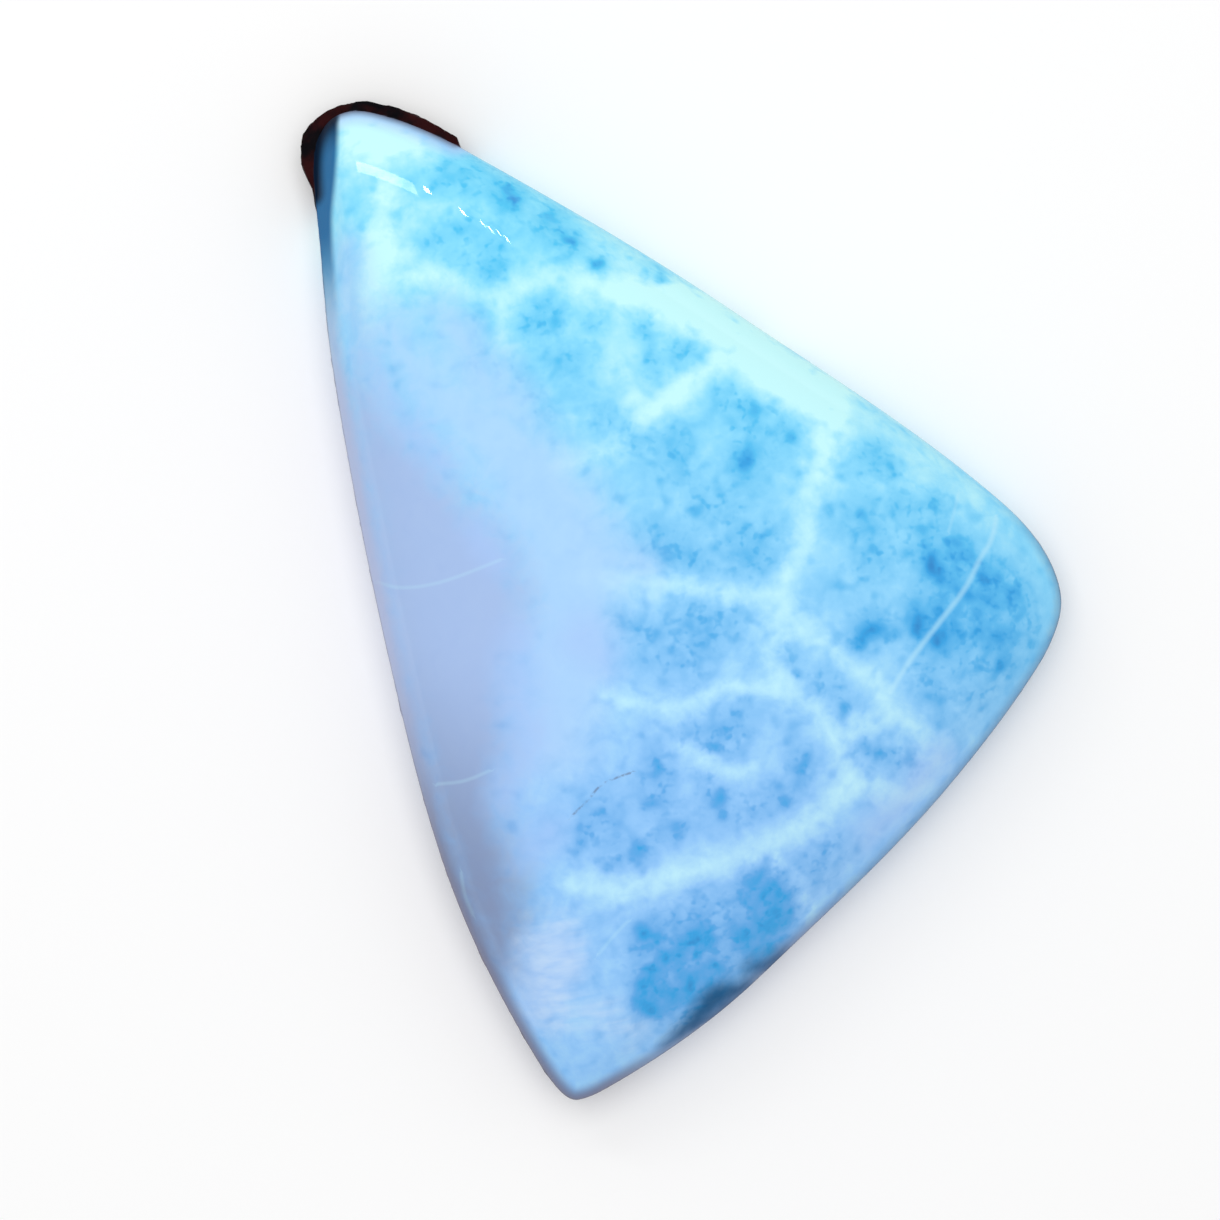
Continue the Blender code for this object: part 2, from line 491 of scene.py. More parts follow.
class LarimarColours(bpy.types.PropertyGroup):
    """Colours of the larimar, of the painted shade, reflections and highlights at its edges and tip,
    and of the dark rind.
    """

    cell: colour_property("Cell", "Sky blue inside the lower cells", "#90C8FC")
    cell_tip: colour_property("Cell near the tip", "Cyan inside the upper cells", "#86E2FF")
    deep: colour_property("Deep blue", "Darker patches in the lower cells", "#60ACEC")
    deep_tip: colour_property("Deep cyan", "Darker patches near the tip", "#4AC8F6")
    royal: colour_property("Royal blue", "The most saturated patches", "#2BA3E6")
    spot: colour_property("Dark spot", "Middle of the darkest spots", "#1A7CC4")
    # The veins' colours, which also paint the highlights at the tip
    vein_and_highlight: colour_property("Vein", "Pale veins between the lower cells", "#BDEEFF")
    vein_and_highlight_tip: colour_property("Vein near the tip", "Veins between the upper cells", "#C8FEFF")
    cloud: colour_property("Cloud", "Milky haze", "#B1D7FE")
    white: colour_property("White", "Chalky white zones", "#C6E0FC")
    mint_and_sheen: colour_property("Mint", "Green-tinted pale ground near the tip", "#B2F2FD")
    lilac: colour_property("Lilac", "Violet-tinted pale zones", "#A7C8FB")
    grey: colour_property("Grey", "Clear grey-blue zone", "#A6BEEA")
    # Lower end of the clear grey zone, and painted shade along the bottom edge
    grey_deep_and_shade: colour_property("Deep grey", "Lower end of the clear zone", "#7F8EB4")
    # Painted pinkish reflection along the left edge
    blush_reflection: colour_property("Blush", "Pinkish tint along the left edge", "#BDBEDB")
    # Painted shade on the facet at the tip
    facet: colour_property("Facet", "Steel blue of the facet at the tip", "#20649B")
    # Painted shade beside the dark rind and in the fine line at the lower right edge
    navy_shade: colour_property("Navy", "Stone that darkens beside the rock", "#061A30")
    # Painted shade along the lower left edge
    umber_shade: colour_property("Umber", "Brownish shade along the lower left edge", "#6E6A84")
    # Painted shade along the lower right edge
    shade: colour_property("Shade", "Grey blue along the lower right edge", "#4B7FAE")
    # Painted shade at the lower right edge
    teal_shade: colour_property("Teal", "Dark blue at the lower right edge", "#064A78")
    # A brown stain for the hairline crack, and painted shade for the fine dark line at the edge and
    # beside the dark rind
    stain_and_shade: colour_property("Stain", "Iron-stained line at the edge", "#54445A")
    # The dark rind at the tip is painted shadow built as matter: near black, with reddish patches
    shadow_rind: colour_property("Rock", "Dark host rock of the rind", "#050308")
    shadow_rind_red: colour_property("Rust", "Oxidised skin of the host rock", "#2E0A0C")


class LarimarStage(bpy.types.PropertyGroup):
    """The floor, the lights and the air round them."""

    floor: colour_property("Floor", "Pale floor", "#FCFCFC")
    sky: colour_property("Surroundings", "Light from all round", "#FFFFFF")
    sky_strength: FloatProperty(
        name="Surroundings strength",
        description="Brightness of the light from all round",
        min=0,
        default=0.6,
    )
    lamp_power: FloatProperty(
        name="Lamp power",
        description="Power of a square metre of the lamps that glint near the tip",
        unit="POWER",
        min=0,
        default=160,
    )
    key_power: FloatProperty(
        name="Key power",
        description="Power of the large soft light",
        unit="POWER",
        min=0,
        default=0.42,
    )


def heading_vector(degrees):
    """Unit vector that runs the given way in the plan."""
    angle = math.radians(degrees)
    return Vector((math.cos(angle), math.sin(angle)))


def outline_arc(start, end, longest, widest):
    """Points and rind widths along one stretch of the edge, without its end."""
    first, last = Vector(start[:2]), Vector(end[:2])
    chord = (last - first).length
    turn = math.radians((end[2] - start[2] + 180) % 360 - 180)
    reach = chord / (3 * math.cos(turn / 4) ** 2)
    steps = math.ceil(max(chord / longest, turn / math.radians(widest)))
    curve = interpolate_bezier(
        first,
        first + reach * heading_vector(start[2]),
        last - reach * heading_vector(end[2]),
        last,
        steps + 1,
    )
    rinds = np.linspace(start[3], end[3], steps + 1)
    return [(point.x, point.y, rind) for point, rind in zip(curve[:-1], rinds)]


def outline_points(step):
    """The stone's edge seen from above, and the rind's width at each point."""
    points = []
    for start, end in zip(OUTLINE, OUTLINE[1:] + OUTLINE[:1]):
        points += outline_arc(start, end, *step)
    points = np.array(points)
    return points[:, :2], points[:, 2:]


def outward_normals(edge):
    """Unit vectors that point out of a closed anticlockwise edge."""
    onward = np.roll(edge, -1, axis=0) - np.roll(edge, 1, axis=0)
    outward = np.stack([onward[:, 1], -onward[:, 0]], axis=1)
    return outward / np.linalg.norm(outward, axis=1, keepdims=True)


def ellipse_points(outward):
    """Where an ellipse round the crown faces each of the given ways."""
    axes = np.array([ELLIPSE_HALF_WIDTH, ELLIPSE_HALF_LENGTH])
    reach = outward * axes**2
    return reach / np.linalg.norm(outward * axes, axis=1, keepdims=True)


def ground_facet(plan, height):
    """Heights after the facet at the tip is ground, with its ridge just eased."""
    ridge_way = heading_vector(RIDGE_HEADING)
    inside = (plan - RIDGE) @ np.array([ridge_way.y, -ridge_way.x])
    facet = RIDGE_HEIGHT + FACET_SLOPE * inside
    middle = (height + facet) / 2
    gap = (height - facet) / 2
    eased = middle - np.sqrt(gap**2 + FACET_EASING**2)
    return np.maximum(eased, DOME_FOOT_HEIGHT)


def dome_ring(foot, outward, spokes, lift, shape):
    """One ring of the dome; lift runs from 0 at its foot to 1 at the crown.

    Its points lie on the given spokes, which run out from the crown.
    """
    spread = math.cos(lift * math.pi / 2) ** (2 / shape.dome_power)
    line = spread**2 * (foot - CROWN) + (1 - spread**2) * ellipse_points(outward)
    line *= spread
    reach = np.interp(
        np.arctan2(spokes[:, 1], spokes[:, 0]),
        np.arctan2(line[:, 1], line[:, 0]),
        np.hypot(line[:, 0], line[:, 1]),
        period=math.tau,
    )
    plan = CROWN + reach[:, None] * spokes
    rise = (shape.crown_height / MM - DOME_FOOT_HEIGHT) * math.sin(lift * math.pi / 2)
    return np.column_stack([plan, ground_facet(plan, DOME_FOOT_HEIGHT + rise)])


def dome_lifts(shape):
    """Lifts of the dome's rings, spaced evenly along the dome's section."""
    lift = np.linspace(0, 1, 2000)
    spread = np.cos(lift * math.pi / 2) ** (2 / shape.dome_power)
    run = np.diff(spread) * (ELLIPSE_HALF_WIDTH + ELLIPSE_HALF_LENGTH) / 2
    rise = np.diff(np.sin(lift * math.pi / 2)) * (shape.crown_height / MM - DOME_FOOT_HEIGHT)
    travelled = np.concatenate([[0], np.cumsum(np.hypot(run, rise))])
    even = np.linspace(0, travelled[-1], DOME_ROWS, endpoint=False)
    return np.interp(even, travelled, lift)


def dome_rings(mesh_foot, shape):
    """Rings of the dome from its foot up, spaced as the foot's points are."""
    fine_edge = outline_points(FINE_STEP)[0]
    outward = outward_normals(fine_edge)
    foot = fine_edge - outward * DOME_FOOT_INSET
    spokes = mesh_foot - CROWN
    spokes /= np.linalg.norm(spokes, axis=1, keepdims=True)
    return [dome_ring(foot, outward, spokes, lift, shape) for lift in dome_lifts(shape)]


def flat_ring(plan, height):
    """A ring of points at one height."""
    return np.insert(plan, 2, height, axis=1)


def stone_rings(shape):
    """Rings of points from the middle of the back up to the crown."""
    stone_edge, rind = outline_points(MESH_STEP)
    outward = outward_normals(stone_edge)
    edge = stone_edge + outward * rind
    girdle = shape.girdle_height / MM
    back_edge = stone_edge - outward * CHAMFER_INSET
    outer = edge - outward * GIRDLE_INSET
    foot = stone_edge - outward * DOME_FOOT_INSET

    rings = []
    for share in np.linspace(0, 1, BACK_ROWS, endpoint=False):
        spread = CROWN + share * (back_edge - CROWN)
        rings.append(flat_ring(spread + outward * rind * share**RIND_POWER, 0))
    for share in np.linspace(0, 1, CHAMFER_ROWS, endpoint=False):
        inset = CHAMFER_INSET + share * (FOOT_INSET - CHAMFER_INSET)
        rings.append(flat_ring(edge - outward * inset, share * CHAMFER_HEIGHT))
    for height in np.linspace(CHAMFER_HEIGHT, girdle, WALL_ROWS, endpoint=False):
        bow = ((height - WAIST_HEIGHT) / (girdle - WAIST_HEIGHT)) ** 2
        rings.append(flat_ring(edge - outward * GIRDLE_INSET * bow, height))
    for share in np.linspace(0, 1, LEDGE_ROWS, endpoint=False):
        height = girdle + share * (DOME_FOOT_HEIGHT - girdle)
        rings.append(flat_ring(outer + share * (foot - outer), height))
    rings += dome_rings(foot, shape)
    rings.append(np.full_like(rings[0], (*CROWN, shape.crown_height / MM)))
    return np.array(rings)


def shape_stone(mesh_data, shape):
    """Roll a grid up into the stone, and weld its seam and its two poles."""
    rings = stone_rings(shape)
    rings = np.concatenate([rings, rings[:, :1]], axis=1)
    rows, columns = rings.shape[:2]
    bmesh.ops.create_grid(mesh_data, x_segments=columns - 1, y_segments=rows - 1, size=1)
    for vert, place in zip(mesh_data.verts, rings.reshape(-1, 3) * MM):
        vert.co = place
    border = [vert for vert in mesh_data.verts if vert.is_boundary]
    bmesh.ops.remove_doubles(mesh_data, verts=border, dist=WELD_DISTANCE)


def to_photo(points):
    """Pixels of the photograph where the stone's points, in mm, show.

    Higher points lie nearer the camera, so they show further from its axis.
    """
    cosine, sine = math.cos(CAMERA_ROLL), math.sin(CAMERA_ROLL)
    x, y, z = points.T
    depth = np.maximum(DOME_FOOT_HEIGHT - z, 0)
    x, y = x + DIP[0] * depth, y + DIP[1] * depth
    right = (x * cosine - y * sine) / MM_PER_PIXEL
    up = (x * sine + y * cosine) / MM_PER_PIXEL
    plan = np.stack([STONE_PIXEL[0] + right, STONE_PIXEL[1] - up], axis=1)
    middle = PHOTO_SIDE / 2
    nearer = CAMERA_DISTANCE / (CAMERA_DISTANCE + WAIST_HEIGHT - z)
    return middle + (plan - middle) * nearer[:, None]


def wandered(pixels, points):
    """The pixels shifted by smooth noise, so that drawn lines wander a little."""
    shift = np.zeros_like(pixels)
    for size, reach in WANDER:
        for index, point in enumerate(points / size):
            wave = noise.noise_vector(Vector(point))
            shift[index] += (wave.x * reach, wave.y * reach)
    return pixels + shift


def smooth_line(stroke):
    """A drawn line's points with rounder bends, by cutting its corners twice."""
    line = np.array(stroke, dtype=float)
    for _ in range(2):
        if len(line) < 3:
            break
        early = line[:-1] * 0.75 + line[1:] * 0.25
        late = line[:-1] * 0.25 + line[1:] * 0.75
        inner = np.stack([early, late], axis=1).reshape(-1, 3)
        line = np.vstack([line[:1], inner[1:-1], line[-1:]])
    return line


def segment_gaps(pixels, stroke):
    """For each piece of a drawn line: its way, its width beside each pixel and
    the gap from the nearest point of the piece to the pixel."""
    line = smooth_line(stroke)
    for start, end in zip(line[:-1], line[1:]):
        length = np.hypot(*(end - start)[:2])
        way = (end - start)[:2] / length
        share = np.clip((pixels - start[:2]) @ way / length, 0, 1)
        gap = pixels - start[:2] - share[:, None] * way * length
        yield way, start[2] + (end[2] - start[2]) * share, gap


def line_distance(pixels, stroke):
    """Distance from each pixel to a drawn line's border, negative inside it."""
    if len(stroke) == 1:
        x, y, width = stroke[0]
        return np.hypot(*(pixels - (x, y)).T) - width
    nearest = np.full(len(pixels), np.inf)
    for _, width, gap in segment_gaps(pixels, stroke):
        nearest = np.minimum(nearest, np.hypot(*gap.T) - width)
    return nearest


def layer_distance(pixels, strokes, melt):
    """Distance in mm to the nearest line of a layer, with neighbours melted."""
    total = np.full(len(pixels), -np.inf)
    for stroke in strokes:
        total = np.logaddexp(total, -line_distance(pixels, stroke) / melt)
    return -melt * total * MM_PER_PIXEL


def layer_side(pixels, strokes):
    """Offset in mm from the nearest line, which changes its sign across it."""
    nearest = np.full(len(pixels), np.inf)
    side = np.zeros(len(pixels))
    for stroke in strokes:
        for way, _, gap in segment_gaps(pixels, stroke):
            distance = np.hypot(*gap.T)
            turned = np.sign(gap[:, 0] * way[1] - gap[:, 1] * way[0])
            side = np.where(distance < nearest, turned * distance, side)
            nearest = np.minimum(nearest, distance)
    return side * MM_PER_PIXEL


def gaps_to(line, points):
    """Index of the nearest point of a line for each point, and the gap from it."""
    tree = KDTree(len(line))
    for index, point in enumerate(line):
        tree.insert((*point, 0), index)
    tree.balance()
    nearest = np.array([tree.find((x, y, 0))[1] for x, y, _ in points])
    return nearest, points[:, :2] - line[nearest]


def edge_distances(points):
    """Distances in mm in from the silhouette, and out from the blue stone's edge."""
    edge, rind = outline_points(MESH_STEP)
    outward = outward_normals(edge)
    nearest, gap = gaps_to(edge, points)
    outside = np.einsum("ij,ij->i", gap, outward[nearest])
    nearest, gap = gaps_to(edge + outward * rind, points)
    inside = np.hypot(*gap.T)
    return inside, outside


def rind_gaps(points):
    """Distance in mm from each point to the foot of the rind, seen from above."""
    edge, rind = outline_points(MESH_STEP)
    rind_edge = edge[rind[:, 0] > 0.1]
    return np.hypot(*gaps_to(rind_edge, points)[1].T)


def roughen_rind(points, outside, relief):
    """Sink the surface of the dark rind, a painted shadow built as matter, by noise, so that it looks
    broken.
    """
    shadow_rind = np.clip((outside + DOME_FOOT_INSET) / 0.15, 0, 1)
    moved = points.copy()
    for index in np.flatnonzero(shadow_rind > 0):
        point = points[index]
        if point[2] == 0:
            continue
        coarse = noise.fractal(Vector(point * 1.6), 1.0, 2.0, 4)
        grit = abs(noise.noise(Vector(point * 7.0)))
        depth = relief * shadow_rind[index] * (0.75 + 0.55 * coarse + 0.4 * grit)
        inward = np.array([*(CROWN - point[:2]), 0])
        inward /= np.linalg.norm(inward)
        moved[index] += inward * max(depth, 0)
        moved[index][2] -= max(depth, 0) * (point[2] > WAIST_HEIGHT)
    return moved


def grind_by_hand(points, relief):
    """Sink the dome by faint broad waves, as a stone ground by hand has."""
    moved = points.copy()
    for index in np.flatnonzero(points[:, 2] > DOME_FOOT_HEIGHT):
        wave = noise.noise(Vector(points[index] / 5.5)) + 1
        share = min(1, (points[index][2] - DOME_FOOT_HEIGHT) / 2)
        moved[index][2] -= relief * share * wave / 2
    return moved


def add_attribute(mesh, name, values):
    """Store one number for each point of the mesh."""
    attribute = mesh.attributes.new(name, "FLOAT", "POINT")
    attribute.data.foreach_set("value", np.asarray(values, dtype=np.float32))


def stone_mesh(shape):
    """The stone's mesh, with the distances to its pattern's lines at each point."""
    mesh = bpy.data.meshes.new("polished_stone")
    mesh_data = bmesh.new()
    shape_stone(mesh_data, shape)
    mesh_data.to_mesh(mesh)
    mesh_data.free()
    flat = np.empty(len(mesh.vertices) * 3)
    mesh.vertices.foreach_get("co", flat)
    points = flat.reshape(-1, 3) / MM
    inside, outside = edge_distances(points)
    add_attribute(mesh, "rim", inside)
    add_attribute(mesh, "rind", outside)
    add_attribute(mesh, "rind_gap", rind_gaps(points))
    straight = to_photo(points)
    pixels = wandered(straight, points)
    for name, (strokes, melt) in LAYERS.items():
        add_attribute(mesh, name, layer_distance(pixels, strokes, melt))
    add_attribute(mesh, "steel_shade", layer_distance(straight, STEEL_SHADES, 3.0))
    for name, strokes in FINE_LINES.items():
        add_attribute(mesh, name, layer_distance(straight, strokes, 0.2))
        add_attribute(mesh, name + "_side", layer_side(straight, strokes))
    points = grind_by_hand(points, shape.hand_relief / MM)
    points = roughen_rind(points, outside, shape.rind_relief / MM)
    mesh.vertices.foreach_set("co", (points * MM).ravel())
    mesh.shade_smooth()
    return mesh


def add_node(tree, kind, inputs=None, **settings):
    """Add a node. Inputs are given as values, or as sockets to link from."""
    node = tree.nodes.new(kind)
    for name, value in settings.items():
        setattr(node, name, value)
    for name, value in (inputs or {}).items():
        if isinstance(value, bpy.types.NodeSocket):
            tree.links.new(value, node.inputs[name])
        else:
            node.inputs[name].default_value = value
    return node


def new_material(name):
    """An empty node material and its tree."""
    material = bpy.data.materials.new(name)
    material.use_nodes = True
    material.node_tree.nodes.clear()
    return material, material.node_tree


def grain(tree, size_mm, detail=3.0, distortion=0.0):
    """Noise over the stone, from 0 to 1, with bumps of about the given size."""
    place = add_node(tree, "ShaderNodeTexCoord").outputs["Object"]
    return add_node(
        tree,
        "ShaderNodeTexNoise",
        {
            "Vector": place,
            "Scale": 1 / (size_mm * MM),
            "Detail": detail,
            "Roughness": 0.55,
            "Distortion": distortion,
        },
    ).outputs["Fac"]


def fibres(tree, length_mm, width_mm):
    """Noise drawn out into fibres that run across the photograph, from 0 to 1."""
    place = add_node(tree, "ShaderNodeTexCoord").outputs["Object"]
    turned = add_node(
        tree,
        "ShaderNodeMapping",
        {
            "Vector": place,
            "Rotation": (0, 0, CAMERA_ROLL + FIBRE_DIP),
            "Scale": (1 / (length_mm * MM), 1 / (width_mm * MM), 1 / (width_mm * MM)),
        },
    ).outputs["Vector"]
    return add_node(
        tree, "ShaderNodeTexNoise", {"Vector": turned, "Scale": 1, "Detail": 2}
    ).outputs["Fac"]


def coverage(tree, layer, inner, outer, ragged=0.0, texture=None):
    """1 inside a layer's lines and 0 outside them, over a border in mm.

    The border runs from inner to outer, and the texture pushes it to and fro
    by up to the ragged distance.
    """
    distance = add_node(tree, "ShaderNodeAttribute", attribute_name=layer).outputs["Fac"]
    if texture is not None:
        centred = add_node(
            tree, "ShaderNodeMath", {0: texture, 1: 0.5}, operation="SUBTRACT"
        ).outputs[0]
        distance = add_node(
            tree,
            "ShaderNodeMath",
            {0: centred, 1: 2 * ragged, 2: distance},
            operation="MULTIPLY_ADD",
        ).outputs[0]
    return add_node(
        tree,
        "ShaderNodeMapRange",
        {"Value": distance, "From Min": inner, "From Max": outer, "To Min": 1, "To Max": 0},
        interpolation_type="SMOOTHSTEP",
    ).outputs["Result"]


def between(tree, value, low, high):
    """0 below low, 1 above high, and smooth between."""
    return add_node(
        tree,
        "ShaderNodeMapRange",
        {"Value": value, "From Min": low, "From Max": high},
        interpolation_type="SMOOTHSTEP",
    ).outputs["Result"]


def product(tree, *factors):
    """All the given factors multiplied."""
    total = factors[0]
    for factor in factors[1:]:
        total = add_node(
            tree, "ShaderNodeMath", {0: total, 1: factor}, operation="MULTIPLY"
        ).outputs[0]
    return total


def greatest(tree, *values):
    """The greatest of the given values."""
    total = values[0]
    for value in values[1:]:
        total = add_node(
            tree, "ShaderNodeMath", {0: total, 1: value}, operation="MAXIMUM"
        ).outputs[0]
    return total


def along(tree, way):
    """How far each place lies along a way in the plan, in mm."""
    place = add_node(tree, "ShaderNodeTexCoord").outputs["Object"]
    return add_node(
        tree, "ShaderNodeVectorMath", {0: place, 1: Vector(way) / MM}, operation="DOT_PRODUCT"
    ).outputs["Value"]


def inverse(tree, value):
    """One minus the value."""
    return add_node(tree, "ShaderNodeMath", {0: 1, 1: value}, operation="SUBTRACT").outputs[0]


def lay(tree, under, over, *shares):
    """One colour laid over another by the product of the given shares."""
    return add_node(
        tree, "ShaderNodeMix", {0: product(tree, *shares), 6: under, 7: over}, data_type="RGBA"
    ).outputs[2]


def weighted_sum(tree, start, *terms):
    """The start, plus each value times its weight."""
    total = start
    for value, weight in terms:
        total = add_node(
            tree, "ShaderNodeMath", {0: value, 1: weight, 2: total}, operation="MULTIPLY_ADD"
        ).outputs[0]
    return total


def graded(tree, value, stops):
    """A colour for each value, blended evenly from each stop to the next."""
    colour = stops[0][1]
    for (low, _), (high, next_colour) in zip(stops, stops[1:]):
        share = add_node(
            tree, "ShaderNodeMapRange", {"Value": value, "From Min": low, "From Max": high}
        ).outputs["Result"]
        colour = lay(tree, colour, next_colour, share)
    return colour


def veinlets(tree, spacing_mm, width_mm):
    """A faint net of thin lines, strongest here and there."""
    place = add_node(tree, "ShaderNodeTexCoord").outputs["Object"]
    wave = add_node(
        tree, "ShaderNodeTexNoise", {"Vector": place, "Scale": 1 / (spacing_mm * MM), "Detail": 3}
    ).outputs["Color"]
    warp = add_node(
        tree,
        "ShaderNodeVectorMath",
        {0: wave, 1: (spacing_mm * MM,) * 3, 2: place},
        operation="MULTIPLY_ADD",
    ).outputs["Vector"]
    gap = add_node(
        tree,
        "ShaderNodeTexVoronoi",
        {"Vector": warp, "Scale": 1 / (spacing_mm * MM)},
        feature="DISTANCE_TO_EDGE",
    ).outputs["Distance"]
    line = inverse(tree, between(tree, gap, 0, width_mm / spacing_mm))
    return product(tree, line, between(tree, grain(tree, 2.0, 1.0), 0.4, 0.65))


def fine_line(tree, layer, half_width, softness):
    """A hair-thin line: near its zero offset, and not beyond its ends."""
    side = add_node(tree, "ShaderNodeAttribute", attribute_name=layer + "_side").outputs["Fac"]
    across = add_node(tree, "ShaderNodeMath", {0: side}, operation="ABSOLUTE").outputs[0]
    line = inverse(tree, between(tree, across, half_width, half_width + softness))
    return product(tree, line, coverage(tree, layer, 0.1, 0.3))


def blue_depth(tree, mottle, fine):
    """How deep the blue is: 0 in a vein, 0.4 in a cell, 1 in the deepest patch.

    The noises take part in the sum, so that they break up every border.
    """
    patchy = between(tree, grain(tree, 0.6, 1.0), 0.3, 0.7)
    deep = coverage(tree, "deep", -0.8, 1.1, 0.4, mottle)
    royal = coverage(tree, "royal", -0.7, 0.9, 0.2, mottle)
    mint_and_sheen = coverage(tree, "mint_and_sheen", -1.2, 1.4, 0.9, mottle)
    speckle = product(
        tree,
        between(tree, grain(tree, 0.6, 0.0), 0.5, 0.95),
        between(tree, grain(tree, 1.8, 1.0), 0.35, 0.6),
    )
    flecks = between(tree, grain(tree, 0.42, 1.0), 0.5, 0.75)
    return weighted_sum(
        tree,
        0.40 - (MOTTLE_DEPTH + FINE_DEPTH) / 2,
        (mottle, MOTTLE_DEPTH),
        (fine, FINE_DEPTH),
        (speckle, 0.2),
        (deep, 0.14),
        (product(tree, deep, patchy), 0.08),
        (product(tree, deep, flecks), 0.22),
        (royal, 0.26),
        (product(tree, royal, patchy), 0.12),
        (coverage(tree, "spot", -0.2, 0.34, 0.1, fine), 0.28),
        # Paler in the pale ground and the painted sheen near the tip and along the upper right
        # shoulder
        (product(tree, mint_and_sheen, inverse(tree, deep)), -0.2),
        (veinlets(tree, 1.9, 0.4), -0.05),
        # Paler in the veins, and in the painted highlights at the tip
        (coverage(tree, "vein_and_highlight", 0.0, 1.2, 0.5, mottle), -0.1),
        (coverage(tree, "vein_and_highlight", -0.4, 0.5, 0.22, fine), -0.2),
    )


def body_colour(tree, hue, depth):
    """The colour of each depth of blue, bluer low down and greener near the tip."""
    tipward = between(tree, along(tree, TIPWARD), *CYAN_TURN)

    def turned(name):
        return lay(tree, hue(name), hue(name + "_tip"), tipward)

    return graded(
        tree,
        depth,
        (
            (0.0, turned("vein_and_highlight")),
            (0.4, turned("cell")),
            (0.7, turned("deep")),
            (1.0, hue("royal")),
            (1.4, hue("spot")),
        ),
    )


def zone_colour(tree, colour, hue, mottle):
    """The milky haze, the clear grey zone on the left, and the paler zones."""
    cloud = coverage(tree, "cloud", -1.2, 1.6, 0.9, mottle)
    colour = lay(tree, colour, hue("cloud"), cloud, 0.76)
    downward = between(tree, along(tree, TIPWARD), *GREY_TURN)
    grey = lay(tree, hue("grey"), hue("grey_deep_and_shade"), downward)
    colour = lay(tree, colour, grey, coverage(tree, "grey", -1.5, 1.6, 0.9, mottle), 0.92)
    colour = lay(tree, colour, hue("lilac"), coverage(tree, "lilac", -0.8, 1.3, 0.5, mottle), 0.55)
    white = coverage(tree, "white", -1.0, 1.2, 0.9, mottle)
    streaks = between(tree, fibres(tree, 4, 0.4), 0.1, 0.8)
    return lay(tree, colour, hue("white"), white, streaks, 0.75)


def crack_colour(tree, colour, hue):
    """The thin healed cracks: pale ones, and a brown one."""
    colour = lay(tree, colour, hue("vein_and_highlight"), fine_line(tree, "thread", 0.0, 0.22), 0.42)
    colour = lay(tree, colour, hue("vein_and_highlight"), fine_line(tree, "wisp", 0.01, 0.13), 0.2)
    broken = between(tree, grain(tree, 0.3), 0.35, 0.6)
    return lay(tree, colour, hue("stain_and_shade"), fine_line(tree, "hairline", 0.0, 0.09), broken, 0.55)


def edge_colour(tree, colour, hue, mottle, fine):
    """Painted shade and reflection along the edges: painted shade on the lower right,
    along the bottom and on the lower left, a painted pinkish reflection on the left,
    dark teal painted shade at the lower right edge, and a fine dark line all round
    that is painted shade at the silhouette."""
    leftward = between(tree, along(tree, LEFTWARD), *LEFT_EDGE)
    lower = between(tree, along(tree, LOWER_RIGHT), *LOWER_RIGHT_EDGE)
    # Painted shade along the lower right edge
    shade = coverage(tree, "rim", 0.1, 0.8, 0.1, fine)
    colour = lay(tree, colour, hue("shade"), shade, lower, 0.65)
    # Painted shade in deep grey along the bottom edge
    bottom = between(tree, along(tree, PHOTO_UP), *BOTTOM_TURN)
    colour = lay(tree, colour, hue("grey_deep_and_shade"), coverage(tree, "rim", 0.1, 1.0), bottom, 0.7)
    # Painted shade in umber along the lower left edge
    downward = between(tree, along(tree, TIPWARD), *GREY_TURN)
    colour = lay(tree, colour, hue("umber_shade"), coverage(tree, "rim", 0.1, 1.0), leftward, downward, 0.75)
    # Painted pinkish reflection along the left edge
    low = inverse(tree, between(tree, along(tree, PHOTO_UP), *FACET_FADE))
    blush_reflection = coverage(tree, "rim", 0.35, 1.1, 0.1, fine)
    colour = lay(tree, colour, hue("blush_reflection"), blush_reflection, leftward, low, inverse(tree, downward), 0.6)
    # Painted shade: dark teal at the lower right edge
    colour = lay(tree, colour, hue("teal_shade"), coverage(tree, "teal_shade", -0.6, 0.6, 0.3, mottle), 0.9)
    # A fine dark line at the girdle: painted shade at the silhouette, navy on the lower right
    height = along(tree, (0, 0, 1))
    stain_and_shade = product(
        tree,
        coverage(tree, "rim", 0.12, 0.3, 0.04, fine),
        between(tree, height, 2.0, 2.4),
        between(tree, height, 3.6, 2.7),
    )
    strength = weighted_sum(tree, 0.22, (greatest(tree, leftward, lower), 0.38), (mottle, 0.26))
    line = lay(tree, hue("stain_and_shade"), hue("navy_shade"), lower, 0.85)
    return lay(tree, colour, line, stain_and_shade, strength)


def facet_colour(tree, colour, hue):
    """Painted shade at the tip: steel blue on the facet, navy at its top and beside
    the dark rind, and a dark line along the rind; lilac near the rind.
    """
    steel_shade = coverage(tree, "steel_shade", -0.15, 0.2)
    present = between(tree, along(tree, PHOTO_UP), *FACET_FADE)
    near_rind = coverage(tree, "rind_gap", 0.4, 1.2)
    colour = lay(tree, colour, hue("lilac"), near_rind, inverse(tree, steel_shade), 0.7)
    colour = lay(tree, colour, hue("stain_and_shade"), coverage(tree, "rind_gap", 0.1, 0.6), 0.8)
    colour = lay(tree, colour, hue("facet"), steel_shade, present, 0.95)
    top = between(tree, along(tree, PHOTO_UP), *NAVY_TURN)
    colour = lay(tree, colour, hue("navy_shade"), top, steel_shade, 0.95)
    return lay(tree, colour, hue("navy_shade"), coverage(tree, "rind_gap", 0.2, 0.8), steel_shade, present)


